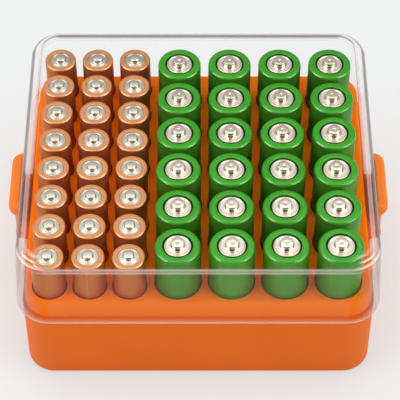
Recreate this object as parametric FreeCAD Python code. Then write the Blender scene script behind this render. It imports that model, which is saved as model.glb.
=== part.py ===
import FreeCAD, Part
import math
import os

# A battery storage case: a tub, a tray of round wells that stands proud of the tub's rim, the cells
# in the wells, a clear lid that sleeves over the tray and rests on the rim, and a clip hinged on
# each side of the tub. Millimetres. The origin is the middle of the tub's underside, +Z is up, +X
# runs from the small cells to the large ones, and the front is at -Y.

# Large cells
aa_columns = 4
aa_rows = 6
aa_radius = 7.15
aa_can_height = 48.9
aa_button_radius = 2.2
aa_button_height = 1.6

# Small cells
aaa_columns = 3
aaa_rows = 8
aaa_radius = 5.2
aaa_can_height = 43.3
aaa_button_radius = 1.8
aaa_button_height = 1.2

# Wells in the tray
cell_clearance = 0.3
aa_column_web = 1.9
aa_row_web = 0.7
aaa_column_web = 1.6
aaa_row_web = 1.1
group_web = 2.2
aaa_side_margin = 2.5
aa_side_margin = 3.2
front_margin = 1.55
aa_well_depth = 31.25
aaa_well_depth = 28.7

# Tray
collar_height = 7.15
collar_corner = 8.0
collar_edge = 1.4
cup_floor = 2.5
tray_side_clearance = 0.3
tray_foot_clearance = 0.4

# Tub
shoulder = 1.1
tub_wall = 1.5
tub_floor = 2.2
tub_foot_edge = 1.5

# Lid
lid_gap = 0.5
lid_wall = 2.4
lid_roof = 1.8
lid_head_clearance = 0.2
lid_draft = 1.6
lid_edge = 4.5
bead_length = 15.0
bead_reach = 0.6
bead_bottom = 1.4
bead_height = 2.5
bead_slope = 0.6

# Side clips and their hinges
clip_length = 24.8
clip_grip_reach = 4.3
clip_grip_height = 8.8
clip_top_round = 1.9
clip_inner_round = 0.7
clip_lip_drop = 5.6
clip_lip_slope = 1.8
clip_lip_round = 1.6
clip_waist_round = 1.2
clip_throat = 1.0
hook_clearance = 0.12
hook_gap = 0.3
hook_depth = 0.58
hook_slope = 0.35
barrel_radius = 2.0
barrel_wall_clearance = 0.45
barrel_drop = 4.2
barrel_shoulder = 1.4
ear_width = 3.0
ear_side_clearance = 0.3
ear_gusset = 2.4
pin_radius = 1.0
pin_fit_clearance = 0.02
pin_running_clearance = 0.07

# One overrun lets every cut pass its face, and two points nearer than the last value are one
overrun = 0.8
same_point = 0.001

# Places worked out from the sizes above
aa_well_radius = aa_radius + cell_clearance
aaa_well_radius = aaa_radius + cell_clearance
aa_column_pitch = 2 * aa_well_radius + aa_column_web
aa_row_pitch = 2 * aa_well_radius + aa_row_web
aaa_column_pitch = 2 * aaa_well_radius + aaa_column_web
aaa_row_pitch = 2 * aaa_well_radius + aaa_row_web
aa_group_length = aa_columns * aa_column_pitch - aa_column_web
aa_group_depth = aa_rows * aa_row_pitch - aa_row_web
aaa_group_length = aaa_columns * aaa_column_pitch - aaa_column_web
aaa_group_depth = aaa_rows * aaa_row_pitch - aaa_row_web

collar_length = (
    aaa_side_margin + aaa_group_length + group_web + aa_group_length + aa_side_margin
)
collar_depth = max(aa_group_depth, aaa_group_depth) + 2 * front_margin
collar_half_x = collar_length / 2
collar_half_y = collar_depth / 2

aaa_first_x = aaa_side_margin + aaa_well_radius - collar_half_x
aa_first_x = (
    aaa_side_margin + aaa_group_length + group_web + aa_well_radius - collar_half_x
)
aaa_front_y = front_margin + aaa_well_radius - collar_half_y
aa_front_y = front_margin + aa_well_radius - collar_half_y

tray_bottom = tub_floor + tray_foot_clearance
collar_top = tray_bottom + cup_floor + max(aa_well_depth, aaa_well_depth)
aa_bottom = collar_top - aa_well_depth
aaa_bottom = collar_top - aaa_well_depth
tub_height = collar_top - collar_height
aa_top = aa_bottom + aa_can_height
aaa_top = aaa_bottom + aaa_can_height

tub_half_x = collar_half_x + shoulder
tub_half_y = collar_half_y + shoulder
tub_corner = collar_corner + shoulder

lid_inner_half_x = collar_half_x + lid_gap
lid_inner_half_y = collar_half_y + lid_gap
lid_inner_corner = collar_corner + lid_gap
lid_half_x = lid_inner_half_x + lid_wall
lid_half_y = lid_inner_half_y + lid_wall
lid_corner = lid_inner_corner + lid_wall
lid_ceiling = (
    max(aa_top + aa_button_height, aaa_top + aaa_button_height) + lid_head_clearance
)
lid_top = lid_ceiling + lid_roof
lid_inner_edge = lid_edge - lid_roof

bead_low = tub_height + bead_bottom
bead_high = bead_low + bead_height
bead_crest_x = lid_half_x + bead_reach

barrel_x = tub_half_x + barrel_wall_clearance + barrel_radius
barrel_z = tub_height - barrel_drop
hook_x = bead_crest_x + hook_clearance
throat_x = hook_x + hook_depth
grip_x = lid_half_x + clip_grip_reach
grip_top = tub_height + clip_grip_height
lip_low = grip_top - clip_lip_drop
waist_x = barrel_x + barrel_radius
end_round = grip_x - hook_x
barrel_half_length = clip_length / 2 - end_round
split_z = barrel_z + barrel_radius + clip_throat


def vector(x, y, z):
    return FreeCAD.Vector(x, y, z)


def rounded_outline(corners):
    """Returns a closed wire through corners, a list of (point, radius): straight runs joined by
    tangent arcs, and a plain corner where the radius is zero."""
    turns = []
    for index, (point, radius) in enumerate(corners):
        if radius == 0:
            turns.append((point, None, point))
            continue
        back = corners[index - 1][0].sub(point).normalize()
        ahead = corners[(index + 1) % len(corners)][0].sub(point).normalize()
        half_angle = back.getAngle(ahead) / 2
        tangent = radius / math.tan(half_angle)
        inward = back.add(ahead).normalize()
        centre = point.add(inward * (radius / math.sin(half_angle)))
        start = point.add(back * tangent)
        end = point.add(ahead * tangent)
        turns.append((start, centre.sub(inward * radius), end))
    edges = []
    for index, (start, middle, end) in enumerate(turns):
        if middle is not None:
            edges.append(Part.Arc(start, middle, end).toShape())
        following = turns[(index + 1) % len(turns)][0]
        if end.distanceToPoint(following) > same_point:
            edges.append(Part.LineSegment(end, following).toShape())
    return Part.Wire(edges)


def rounded_rectangle(half_x, half_y, corner, z):
    """Returns the wire of a rectangle about the Z axis with rounded corners, at height z."""
    return rounded_outline(
        [
            (vector(-half_x, -half_y, z), corner),
            (vector(half_x, -half_y, z), corner),
            (vector(half_x, half_y, z), corner),
            (vector(-half_x, half_y, z), corner),
        ]
    )


def rounded_block(half_x, half_y, corner, low, high):
    """Returns an upright block with rounded upright edges."""
    face = Part.Face(rounded_rectangle(half_x, half_y, corner, low))
    return face.extrude(vector(0, 0, high - low))


def drafted_block(half_x, half_y, corner, low, high, growth):
    """Returns a block with rounded upright edges that has the half sizes given at its low end, and
    whose sides lean out by growth up to its high end, or in where growth is negative."""
    bottom = rounded_rectangle(half_x, half_y, corner, low)
    top = rounded_rectangle(half_x + growth, half_y + growth, corner + growth, high)
    return Part.makeLoft([bottom, top], True, True)


def soften_level_edges(solid, z, radius):
    """Returns the solid with its level edges at height z rounded."""
    edges = [
        edge
        for edge in solid.Edges
        if abs(edge.BoundBox.ZMin - z) < same_point
        and abs(edge.BoundBox.ZMax - z) < same_point
    ]
    return solid.makeFillet(radius, edges)


def bar_along_y(corners, half_length):
    """Returns a bar along Y, centred on Y zero, whose section in X and Z has the corners given as
    (x, z, radius)."""
    wire = rounded_outline(
        [(vector(x, -half_length, z), radius) for x, z, radius in corners]
    )
    return Part.Face(wire).extrude(vector(0, 2 * half_length, 0))


def rod_along_y(radius, x, z, half_length):
    """Returns a round rod along Y, centred on Y zero."""
    return Part.makeCylinder(
        radius, 2 * half_length, vector(x, -half_length, z), vector(0, 1, 0)
    )


def other_side(solid):
    """Returns the solid's mirror image on the object's other side."""
    return solid.mirror(vector(0, 0, 0), vector(1, 0, 0))


def well_places(first_x, front_y, columns, rows, column_pitch, row_pitch):
    """Returns the centre lines of a group of wells, one list of (x, y) for each column."""
    return [
        [
            (first_x + column * column_pitch, front_y + row * row_pitch)
            for row in range(rows)
        ]
        for column in range(columns)
    ]


def make_ear(side):
    """Returns one of the pair of ears that hold a clip's hinge pin, on the side of Y given as 1 or
    -1: round about the pin, with a gusset below that runs down to the tub's wall."""
    root_x = tub_half_x - tub_wall / 2
    ear = bar_along_y(
        [
            (root_x, barrel_z + barrel_radius, 0),
            (waist_x, barrel_z + barrel_radius, barrel_radius),
            (waist_x, barrel_z - barrel_radius, barrel_radius),
            (root_x, barrel_z - barrel_radius - ear_gusset, 0),
        ],
        ear_width / 2,
    )
    inner_end = barrel_half_length + ear_side_clearance
    ear.translate(vector(0, side * (inner_end + ear_width / 2), 0))
    return ear


def make_tub():
    """Returns the tub: a box with rounded corners and foot, open at the top, with the ears."""
    outside = rounded_block(tub_half_x, tub_half_y, tub_corner, 0, tub_height)
    outside = soften_level_edges(outside, 0, tub_foot_edge)
    inside = rounded_block(
        tub_half_x - tub_wall,
        tub_half_y - tub_wall,
        tub_corner - tub_wall,
        tub_floor,
        tub_height,
    )
    ears = [make_ear(side) for side in (-1, 1)]
    ears += [other_side(ear) for ear in ears]
    pin_hole = rod_along_y(
        pin_radius + pin_fit_clearance, barrel_x, barrel_z, clip_length
    )
    tub = outside.cut(inside).fuse(ears)
    return tub.cut([pin_hole, other_side(pin_hole)]).removeSplitter()


def make_tray(aa_wells, aaa_wells):
    """Returns the tray: a body that drops into the tub, a collar that rests on the tub's rim, and
    a blind well for each cell. The body is stepped up under the group with the shorter wells."""
    body_half_x = tub_half_x - tub_wall - tray_side_clearance
    body_half_y = tub_half_y - tub_wall - tray_side_clearance
    body_corner = tub_corner - tub_wall - tray_side_clearance
    body = rounded_block(
        body_half_x, body_half_y, body_corner, tray_bottom, tub_height
    )
    collar = rounded_block(
        collar_half_x, collar_half_y, collar_corner, tub_height, collar_top
    )
    collar = soften_level_edges(collar, collar_top, collar_edge)
    step_x = aa_first_x - aa_well_radius - group_web / 2
    step_bottom = tray_bottom - overrun
    steps = [
        Part.makeBox(
            high_x - low_x,
            2 * collar_half_y,
            bottom - cup_floor - step_bottom,
            vector(low_x, -collar_half_y, step_bottom),
        )
        for low_x, high_x, bottom in (
            (-collar_half_x, step_x, aaa_bottom),
            (step_x, collar_half_x, aa_bottom),
        )
    ]
    wells = [
        Part.makeCylinder(
            radius, collar_top + overrun - bottom, vector(x, y, bottom)
        )
        for columns, radius, bottom in (
            (aa_wells, aa_well_radius, aa_bottom),
            (aaa_wells, aaa_well_radius, aaa_bottom),
        )
        for column in columns
        for x, y in column
    ]
    return body.fuse(collar).cut(steps + wells).removeSplitter()


def make_column(column, radius, bottom, height):
    """Returns one round piece of every cell in a column, as separate solids."""
    return Part.makeCompound(
        [Part.makeCylinder(radius, height, vector(x, y, bottom)) for x, y in column]
    )


def make_lid():
    """Returns the lid: a thin drafted cover with a well rounded top edge, open below, with a catch
    bead on each side."""
    outside = drafted_block(
        lid_half_x, lid_half_y, lid_corner, tub_height, lid_top, -lid_draft
    )
    outside = soften_level_edges(outside, lid_top, lid_edge)
    inner_draft = lid_draft * (lid_ceiling - tub_height) / (lid_top - tub_height)
    inside = drafted_block(
        lid_inner_half_x,
        lid_inner_half_y,
        lid_inner_corner,
        tub_height,
        lid_ceiling,
        -inner_draft,
    )
    inside = soften_level_edges(inside, lid_ceiling, lid_inner_edge)
    root_x = lid_half_x - lid_wall / 2
    bead = bar_along_y(
        [
            (root_x, bead_low - bead_slope, 0),
            (bead_crest_x, bead_low + bead_slope, 0),
            (bead_crest_x, bead_high - bead_slope, 0),
            (root_x, bead_high + bead_slope, 0),
        ],
        bead_length / 2,
    )
    return outside.cut(inside).fuse([bead, other_side(bead)]).removeSplitter()


def make_clip():
    """Returns the right-hand clip. Its section runs from the hinge barrel up a waist to a finger
    lip, with a hook on the inner face. The lip turns a quarter round at each end of the clip."""
    hook_low = bead_high + hook_gap
    lip_and_hook = [
        (waist_x, lip_low, clip_waist_round),
        (grip_x, lip_low + clip_lip_slope, clip_lip_round),
        (grip_x, grip_top, clip_top_round),
    ]
    barrel = [
        (throat_x, hook_low, 0),
        (throat_x, split_z, 0),
        (barrel_x - barrel_radius, split_z - barrel_shoulder, barrel_radius / 2),
        (barrel_x - barrel_radius, barrel_z - barrel_radius, barrel_radius),
        (waist_x, barrel_z - barrel_radius, barrel_radius),
    ]
    hook = [
        (hook_x, grip_top, clip_inner_round),
        (hook_x, hook_low + hook_slope, 0),
    ]
    middle = bar_along_y(lip_and_hook + hook + barrel, barrel_half_length)
    turned_section = lip_and_hook + [
        (hook_x, grip_top, 0),
        (hook_x, hook_low + hook_slope, 0),
        (throat_x, hook_low, 0),
        (throat_x, split_z, 0),
        (waist_x, split_z, 0),
    ]
    ends = []
    for side in (-1, 1):
        end_y = side * barrel_half_length
        wire = rounded_outline(
            [(vector(x, end_y, z), radius) for x, z, radius in turned_section]
        )
        ends.append(
            Part.Face(wire).revolve(
                vector(hook_x, end_y, 0), vector(0, 0, 1), side * 90
            )
        )
    pin_hole = rod_along_y(
        pin_radius + pin_running_clearance, barrel_x, barrel_z, clip_length
    )
    return middle.fuse(ends).cut(pin_hole).removeSplitter()


def make_parts():
    """Returns every node of the case with its shape."""
    aa_wells = well_places(
        aa_first_x, aa_front_y, aa_columns, aa_rows, aa_column_pitch, aa_row_pitch
    )
    aaa_wells = well_places(
        aaa_first_x, aaa_front_y, aaa_columns, aaa_rows, aaa_column_pitch, aaa_row_pitch
    )
    hinge_pin = rod_along_y(
        pin_radius,
        barrel_x,
        barrel_z,
        barrel_half_length + ear_side_clearance + ear_width,
    )
    clip = make_clip()
    parts = {
        "base_tub": make_tub(),
        "battery_tray": make_tray(aa_wells, aaa_wells),
        "clear_lid": make_lid(),
        "right_clip": clip,
        "left_clip": other_side(clip),
        "right_hinge_pin": hinge_pin,
        "left_hinge_pin": other_side(hinge_pin),
    }
    for number, column in enumerate(aa_wells, start=1):
        parts[f"aa_cells_{number}"] = make_column(
            column, aa_radius, aa_bottom, aa_can_height
        )
        parts[f"aa_buttons_{number}"] = make_column(
            column, aa_button_radius, aa_top, aa_button_height
        )
    for number, column in enumerate(aaa_wells, start=1):
        parts[f"aaa_cells_{number}"] = make_column(
            column, aaa_radius, aaa_bottom, aaa_can_height
        )
        parts[f"aaa_buttons_{number}"] = make_column(
            column, aaa_button_radius, aaa_top, aaa_button_height
        )
    return parts


os.makedirs("parts", exist_ok=True)
for name, shape in make_parts().items():
    shape.exportStep(f"parts/{name}.step")
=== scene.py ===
import math

import bmesh
import bpy
import numpy as np
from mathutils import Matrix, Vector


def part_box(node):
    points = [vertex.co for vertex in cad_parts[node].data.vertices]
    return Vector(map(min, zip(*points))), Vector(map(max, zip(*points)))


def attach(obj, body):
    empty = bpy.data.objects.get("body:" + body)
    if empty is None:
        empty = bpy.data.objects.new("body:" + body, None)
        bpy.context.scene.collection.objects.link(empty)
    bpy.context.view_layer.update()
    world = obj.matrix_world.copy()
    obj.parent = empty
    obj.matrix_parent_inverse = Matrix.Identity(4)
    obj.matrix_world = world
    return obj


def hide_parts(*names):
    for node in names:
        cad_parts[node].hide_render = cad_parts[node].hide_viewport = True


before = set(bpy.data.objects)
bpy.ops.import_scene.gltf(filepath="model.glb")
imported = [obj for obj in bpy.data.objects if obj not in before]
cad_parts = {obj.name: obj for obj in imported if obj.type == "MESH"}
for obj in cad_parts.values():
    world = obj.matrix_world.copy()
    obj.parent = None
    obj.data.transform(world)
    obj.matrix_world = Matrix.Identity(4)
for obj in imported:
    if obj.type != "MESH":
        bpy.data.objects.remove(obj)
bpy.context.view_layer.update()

# Lengths are in millimetres up to the mesh, which is in metres
MM = 0.001

# Tray
WELL_CLEARANCE = 0.3
WELL_LIP = 0.25
# Painted shade in a well's gap starts this share of the lip's depth below the deck, and is full one
# lip's depth further down
WELL_LIT_SHARE = 0.2
WELL_FOOT_ROUND = 0.8
DECK_EDGE = 1.25
COLLAR_CORNER = 8.0
BODY_INSET = 0.7
LARGE_TILE_STEPS = 12
SMALL_TILE_STEPS = 10

# Tub
TUB_CORNER = 9.1
TUB_WALL = 1.5
TUB_FLOOR = 2.2
TUB_FOOT_ROUND = 1.5
TUB_RIM_ROUND = 0.3

# Lid
LID_CORNER = 10.9
LID_WALL = 2.4
LID_ROOF = 1.8
LID_DRAFT = 1.6
LID_TOP_ROUND = 4.5
LID_RIM_ROUND = 0.45
LID_ARC_STEPS = 10

# Painted light on the rows of the lid's top edge, from the roof to the wall, painted dark lines above 0
# and painted highlights below 0: at the sides, at the back, at the front, in the front corners and in
# the back corners
TOP_EDGE_PAINTED_LIGHT = (
    (0, 1.5, -0.4, -0.4, -0.8, 1.0, 1.0, 1.0, 1.0, 0.3, 0),
    (1.55, 1.9, 1.5, -0.3, -0.8, 0, 0, 0, 0, 0, 0),
    (0, 0, 0, 0, 0, 0, 0, 0, -0.9, -0.35, -0.9),
    (0, 0, -0.5, -0.3, 1.5, -1.2, 1.6, -1.5, -1.9, 1.6, -0.6),
    (1.0, 1.8, 0.2, -0.4, 1.75, 1.4, 0, 0, 0, 0, 0),
)
# Painted shade on the lid's walls in the front corners, and a painted reflection, a faint veil, at the
# front
WALL_PAINTED_SHADE = 0.5
WALL_PAINTED_REFLECTION = 0.06

# A painted highlight on the lid's outer rim, and a painted dark line on its inner rim
OUTER_RIM_PAINTED_HIGHLIGHT = -1.0
INNER_RIM_PAINTED_SHADE = 0.4
WALL_START = 0.2
RIM_FADE = 0.02

# Clear plastic: the flatness from which, and at which, a painted dark line shows in full, how dark
# painted dark lines and how pale painted highlights get, how much painted highlights and the surface
# seen flattest mirror, and the greatest haze
EDGE_FLATNESS = (0.25, 0.75)
PAINTED_LINE_DARKNESS = 0.95
PAINTED_HIGHLIGHT_PALENESS = 0.45
PAINTED_HIGHLIGHT_MIRROR = 0.25
CLEAR_MIRROR = 0.6
CLEAR_HAZE = 0.003

# Bead that the clips catch
BEAD_LENGTH = 15.0
BEAD_BOTTOM = 1.4
BEAD_HEIGHT = 2.5
BEAD_SLOPE = 0.6
BEAD_RAMP = 0.4

# Hinge ears and pins
EAR_WIDTH = 3.0
EAR_GUSSET = 2.4
EAR_EDGE = 0.25
PIN_EDGE = 0.25
PIN_SEGMENTS = 24
FULL_ROUND_SLACK = 0.01

# Clips. The core is a place inside the upper section, in x and z, that its ends close onto
CLIP_LIP_DROP = 5.6
CLIP_LIP_SLOPE = 1.8
CLIP_WAIST_ROUND = 1.2
CLIP_LIP_ROUND = 1.6
CLIP_INNER_ROUND = 0.7
CLIP_CORE = (59.6, 33.6)
CLIP_END_STEPS = 12
HOOK_CLEARANCE = 0.12
HOOK_GAP = 0.3
HOOK_DEPTH = 0.58
HOOK_SLOPE = 0.35
BARREL_NECK = 1.0
BARREL_SHOULDER = 1.4
BARREL_OVERLAP = 0.4

# The two kinds of cell. Each row of a profile is (radius, height, round). Heights of the ring and
# of the seal count from the can's top, those of the rim and of the nub's foot from the disc, which
# lies a drop below the can's top, and those of the nub's edge and middle from the nub's top. The
# radii of the nub's foot and edge count from the nub's radius
LARGE_CELL = {
    "family": "aa",
    "columns": 4,
    "rows": 6,
    "foot_round": 0.6,
    "shoulder": 0.85,
    "ring": ((4.76, -0.04, 0.16), (4.76, -0.9, 0), (0, -0.9, 0)),
    "drop": 0.32,
    "rim": ((0, -0.5, 0), (4.22, -0.5, 0.05), (4.22, 0.08, 0.2), (3.9, 0.1, 0.1), (3.75, -0.05, 0.1)),
    "nub_foot": ((-0.15, -0.05, 0.28),),
    "nub_edge": ((-0.2, 0, 0.13),),
    "nub_middle": ((0.42, -0.02, 0.05), (0.18, -0.22, 0.05), (0, -0.24, 0)),
}
SMALL_CELL = {
    "family": "aaa",
    "columns": 3,
    "rows": 8,
    "foot_round": 0.5,
    "shoulder": 0.5,
    "ring": ((3.42, -0.03, 0.1), (3.42, -0.55, 0), (0, -0.55, 0)),
    "drop": 0.12,
    "rim": (
        (0, -0.35, 0),
        (3.37, -0.35, 0.05),
        (3.37, 0, 0.12),
        (3.05, 0, 0.06),
        (2.95, -0.12, 0.06),
        (2.7, -0.12, 0.06),
        (2.6, 0, 0.06),
    ),
    "nub_foot": ((-0.1, 0, 0.25),),
    "nub_edge": ((-0.2, -0.04, 0.3),),
    "nub_middle": ((0, 0, 0),),
}
SEAL = ((4.02, -0.85, 0.02), (4.75, -0.85, 0.02), (4.75, -0.6, 0.08), (4.02, -0.6, 0.08))
CELL_TONE_SPREAD = 0.25

FILM_SEAM = 0.006
FILM_PLEATS = 46
FILM_ROUGHNESS = 0.36

SIDES = (("right", 1.0), ("left", -1.0))
TURN_SEGMENTS = 48
ARC_STEPS = 6
FINE_STEPS = 4
SEED = 11


def node_box(node):
    """The lowest and highest corner of a node of the frame, in millimetres."""
    low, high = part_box(node)
    return np.array(low) / MM, np.array(high) / MM


def half_sizes(node):
    """Half the width and depth of the tub or the lid, without ears or beads: both stand out over the
    tray's collar by the same amount on every side."""
    half_y = node_box(node)[1][1]
    collar = node_box("battery_tray")[1]
    return collar[0] + half_y - collar[1], half_y


def pin_axis():
    """The place of the right-hand hinge pin's axis, in x and z."""
    low, high = node_box("right_hinge_pin")
    return (low[0] + high[0]) / 2, (low[2] + high[2]) / 2


def rounded_path(corners, steps=ARC_STEPS, closed=False):
    """Replaces each corner (a, b, radius) of a path by an arc that is tangent to both its sides. The
    arc's points are its centre plus the vector that swings evenly between the tangent points."""
    points = np.array([corner[:2] for corner in corners], float)
    path = []
    for index, (_, _, radius) in enumerate(corners):
        point = points[index]
        at_end = index in (0, len(corners) - 1) and not closed
        if radius == 0 or at_end:
            path.append(point[None])
            continue
        back = points[index - 1] - point
        ahead = points[(index + 1) % len(corners)] - point
        back = back / np.linalg.norm(back)
        ahead = ahead / np.linalg.norm(ahead)
        half = math.acos(np.clip(back @ ahead, -1, 1)) / 2
        middle = (back + ahead) / np.linalg.norm(back + ahead)
        centre = point + middle * radius / math.sin(half)
        start = point + back * radius / math.tan(half) - centre
        end = point + ahead * radius / math.tan(half) - centre
        turn = math.pi - 2 * half
        share = np.linspace(0, 1, steps + 1)[:, None]
        swing = (np.sin((1 - share) * turn) * start + np.sin(share * turn) * end) / math.sin(turn)
        path.append(centre + swing)
    return np.concatenate(path)


def side_stops(half, corner, between=(), steps=ARC_STEPS):
    """Places along one side of a rounded rectangle, from -half to half. In the corners they are the
    corner's radius times the tangent of even steps of angle, so that they land evenly on the arc."""
    reach = corner * np.tan(np.linspace(0, math.pi / 4, steps + 1))
    places = np.concatenate([half - corner + reach, -(half - corner + reach), between])
    return np.unique(places.round(6))


def walk_round(bottom, right, top, left):
    """The points of a rectangle's edge, anticlockwise from its low corner: bottom and top hold the
    places along x, left and right the places along y."""
    x_low, x_high, y_low, y_high = bottom[0], bottom[-1], right[0], right[-1]
    return np.concatenate(
        [
            np.column_stack([bottom[:-1], np.full(len(bottom) - 1, y_low)]),
            np.column_stack([np.full(len(right) - 1, x_high), right[:-1]]),
            np.column_stack([top[:0:-1], np.full(len(top) - 1, y_high)]),
            np.column_stack([np.full(len(left) - 1, x_low), left[:0:-1]]),
        ]
    )


def round_off(points, half_x, half_y, corner):
    """Moves the points of a rectangle's edge that lie in the square of a corner radially onto the
    corner's arc. Returns the points and their outward directions."""
    half = np.array([half_x, half_y])
    centre = np.sign(points) * (half - corner)
    in_corner = (np.abs(points) > half - corner + 1e-6).all(axis=1, keepdims=True)
    reach = points - centre
    length = np.maximum(np.linalg.norm(reach, axis=1, keepdims=True), 1e-9)
    on_side = np.isclose(np.abs(points), half) * np.sign(points)
    outward = np.where(in_corner, reach / length, on_side)
    return np.where(in_corner, centre + outward * corner, points), outward


def rounded_outline(half_x, half_y, corner, between_y=()):
    """The outline of a rounded rectangle about the origin, with its outward directions."""
    xs = side_stops(half_x, corner, [0.0])
    ys = side_stops(half_y, corner, between_y if len(between_y) else [0.0])
    return round_off(walk_round(xs, ys, xs, ys), half_x, half_y, corner)


def ring_grid(flat, heights):
    """A grid from rows of places in x and y, each row at its height. The last column repeats the
    first."""
    levels = np.broadcast_to(heights[:, None, None], flat.shape[:2] + (1,))
    points = np.concatenate([flat, levels], axis=2)
    return np.concatenate([points, points[:, :1]], axis=1)


def loft(outline, outward, profile):
    """Carries a profile of (offset, height) round an outline: each point is the outline's point,
    moved outward by the offset, at that height."""
    return ring_grid(outline[None] + outward[None] * profile[:, None, :1], profile[:, 1])


def capped(points, first=None, last=None):
    """Closes a grid with a pole: a row whose points all lie at one place, before or after its rows."""
    rows = [points]
    if first is not None:
        rows.insert(0, np.broadcast_to(np.array(first, float), points[:1].shape))
    if last is not None:
        rows.append(np.broadcast_to(np.array(last, float), points[:1].shape))
    return np.concatenate(rows)


def lathe(profile, centres, turns=None, segments=TURN_SEGMENTS):
    """Turns a profile of (radius, height) about an upright axis at each centre: x and y are the
    centre plus the radius times the cosine and sine of the turn, and z is the height. Returns one
    grid for each centre, and its UV: the share of the turn, and the radius."""
    turn = np.linspace(0, 2 * math.pi, segments + 1)
    starts = np.zeros(len(centres)) if turns is None else turns
    angle = starts[:, None, None] + turn[None, None]
    radius = profile[None, :, :1]
    x = centres[:, 0, None, None] + radius * np.cos(angle)
    y = centres[:, 1, None, None] + radius * np.sin(angle)
    z = np.broadcast_to(profile[None, :, 1:], x.shape)
    u = np.broadcast_to(turn / (2 * math.pi), x.shape)
    v = np.broadcast_to(radius, x.shape)
    return np.stack([x, y, z], axis=-1), np.stack([u, v], axis=-1)


def grid_faces(grids, rows, columns):
    """The corner numbers of the quads of several grids of points, numbered row by row."""
    corner = np.arange(grids * rows * columns).reshape(grids, rows, columns)
    quads = [corner[:, :-1, :-1], corner[:, :-1, 1:], corner[:, 1:, 1:], corner[:, 1:, :-1]]
    return np.stack(quads, axis=-1).reshape(-1, 4)


def new_object(name, data):
    """An object of the scene that holds the data, at the origin."""
    made = bpy.data.objects.new(name, data)
    bpy.context.scene.collection.objects.link(made)
    return made


def build_piece(name, patches, material, body, replaces=(), sharp=40.0, bevel=0.0):
    """Makes one piece from patches, each a grid of points, or of several such grids, with its UV and
    its tone (random for the cells, painted shade for the tray's wells, painted dark lines and
    highlights for the lid), for each grid or for each point, or None. The patches are welded, and
    their normals turned outwards."""
    all_points, all_faces, all_uv, all_tone_and_painted_light = [], [], [], []
    start = 0
    for points, uv, tone_and_painted_light in patches:
        points = points.reshape((-1,) + points.shape[-3:])
        grids, rows, columns = points.shape[:3]
        faces = grid_faces(grids, rows, columns)
        flat_uv = np.zeros((grids * rows * columns, 2)) if uv is None else uv.reshape(-1, 2)
        tones = np.zeros(grids) if tone_and_painted_light is None else tone_and_painted_light.ravel()
        all_points.append(points.reshape(-1, 3) * MM)
        all_uv.append(flat_uv[faces].reshape(-1, 2))
        all_tone_and_painted_light.append(np.repeat(tones, grids * rows * columns // len(tones)))
        all_faces.append(faces + start)
        start += grids * rows * columns
    points, faces = np.concatenate(all_points), np.concatenate(all_faces)
    mesh = bpy.data.meshes.new(name)
    mesh.from_pydata(points, [], faces)
    layer = mesh.uv_layers.new(name="surface")
    layer.data.foreach_set("uv", np.concatenate(all_uv).astype(np.float32).ravel())
    tone_and_painted_light_attribute = mesh.attributes.new("tone_and_painted_light", "FLOAT", "POINT")
    tone_and_painted_light_attribute.data.foreach_set("value", np.concatenate(all_tone_and_painted_light).astype(np.float32))
    welded = bmesh.new()
    welded.from_mesh(mesh)
    bmesh.ops.remove_doubles(welded, verts=welded.verts, dist=2e-6)
    bmesh.ops.dissolve_degenerate(welded, dist=1e-7, edges=welded.edges)
    bmesh.ops.recalc_face_normals(welded, faces=welded.faces)
    welded.to_mesh(mesh)
    welded.free()
    mesh.shade_smooth()
    mesh.set_sharp_from_angle(angle=math.radians(sharp))
    mesh.materials.append(material)
    piece = new_object(name, mesh)
    if bevel:
        modifier = piece.modifiers.new("edge", "BEVEL")
        modifier.width = bevel * MM
        modifier.segments = 3
        modifier.limit_method = "ANGLE"
        modifier.angle_limit = math.radians(sharp)
    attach(piece, body)
    if replaces:
        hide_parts(*replaces)
    return piece


# Shader groups
def new_group(name, inputs):
    """A shader node group, and the sockets of its inputs. Each input has a name and a default
    number, or None for a vector."""
    group = bpy.data.node_groups.new(name, "ShaderNodeTree")
    for label, default in inputs:
        kind = "NodeSocketVector" if default is None else "NodeSocketFloat"
        socket = group.interface.new_socket(name=label, in_out="INPUT", socket_type=kind)
        if default is not None:
            socket.default_value = default
    return group, group.nodes.new("NodeGroupInput").outputs


def set_outputs(group, values):
    """Gives a shader node group its outputs, from the sockets that their names stand for."""
    for label in values:
        group.interface.new_socket(name=label, in_out="OUTPUT", socket_type="NodeSocketFloat")
    outlet = group.nodes.new("NodeGroupOutput")
    for label, value in values.items():
        group.links.new(value, outlet.inputs[label])


def split_vector(tree, vector):
    """The sockets of the three parts of a vector."""
    node = tree.nodes.new("ShaderNodeSeparateXYZ")
    tree.links.new(vector, node.inputs[0])
    return node.outputs


def math_node(tree, operation, first, second=None, third=None, clamp=False):
    """Adds a Math node whose inputs are sockets or numbers, and returns its output."""
    node = tree.nodes.new("ShaderNodeMath")
    node.operation = operation
    node.use_clamp = clamp
    for index, value in enumerate((first, second, third)):
        if value is None:
            continue
        if isinstance(value, (int, float)):
            node.inputs[index].default_value = value
        else:
            tree.links.new(value, node.inputs[index])
    return node.outputs[0]


def noise_node(tree, vector, scale, detail=2.0, roughness=0.5):
    """Adds a Noise Texture on the vector, and returns its factor."""
    node = tree.nodes.new("ShaderNodeTexNoise")
    node.inputs["Detail"].default_value = detail
    node.inputs["Roughness"].default_value = roughness
    tree.links.new(vector, node.inputs["Vector"])
    if isinstance(scale, (int, float)):
        node.inputs["Scale"].default_value = scale
    else:
        tree.links.new(scale, node.inputs["Scale"])
    return node.outputs["Fac"]


def make_moulding_group():
    """Fine spark-eroded grain, and broad mottling from the flow of plastic into the mould."""
    inputs = [("Vector", None), ("Grain Scale", 5000.0), ("Flow Scale", 60.0)]
    group, given = new_group("moulded_surface", inputs)
    grain = noise_node(group, given["Vector"], given["Grain Scale"], 2.0, 0.6)
    flow = noise_node(group, given["Vector"], given["Flow Scale"], 3.0, 0.55)
    mottle = math_node(group, "MULTIPLY_ADD", flow, 2.0, -0.5, clamp=True)
    set_outputs(group, {"Height": grain, "Mottle": mottle})
    return group


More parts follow.
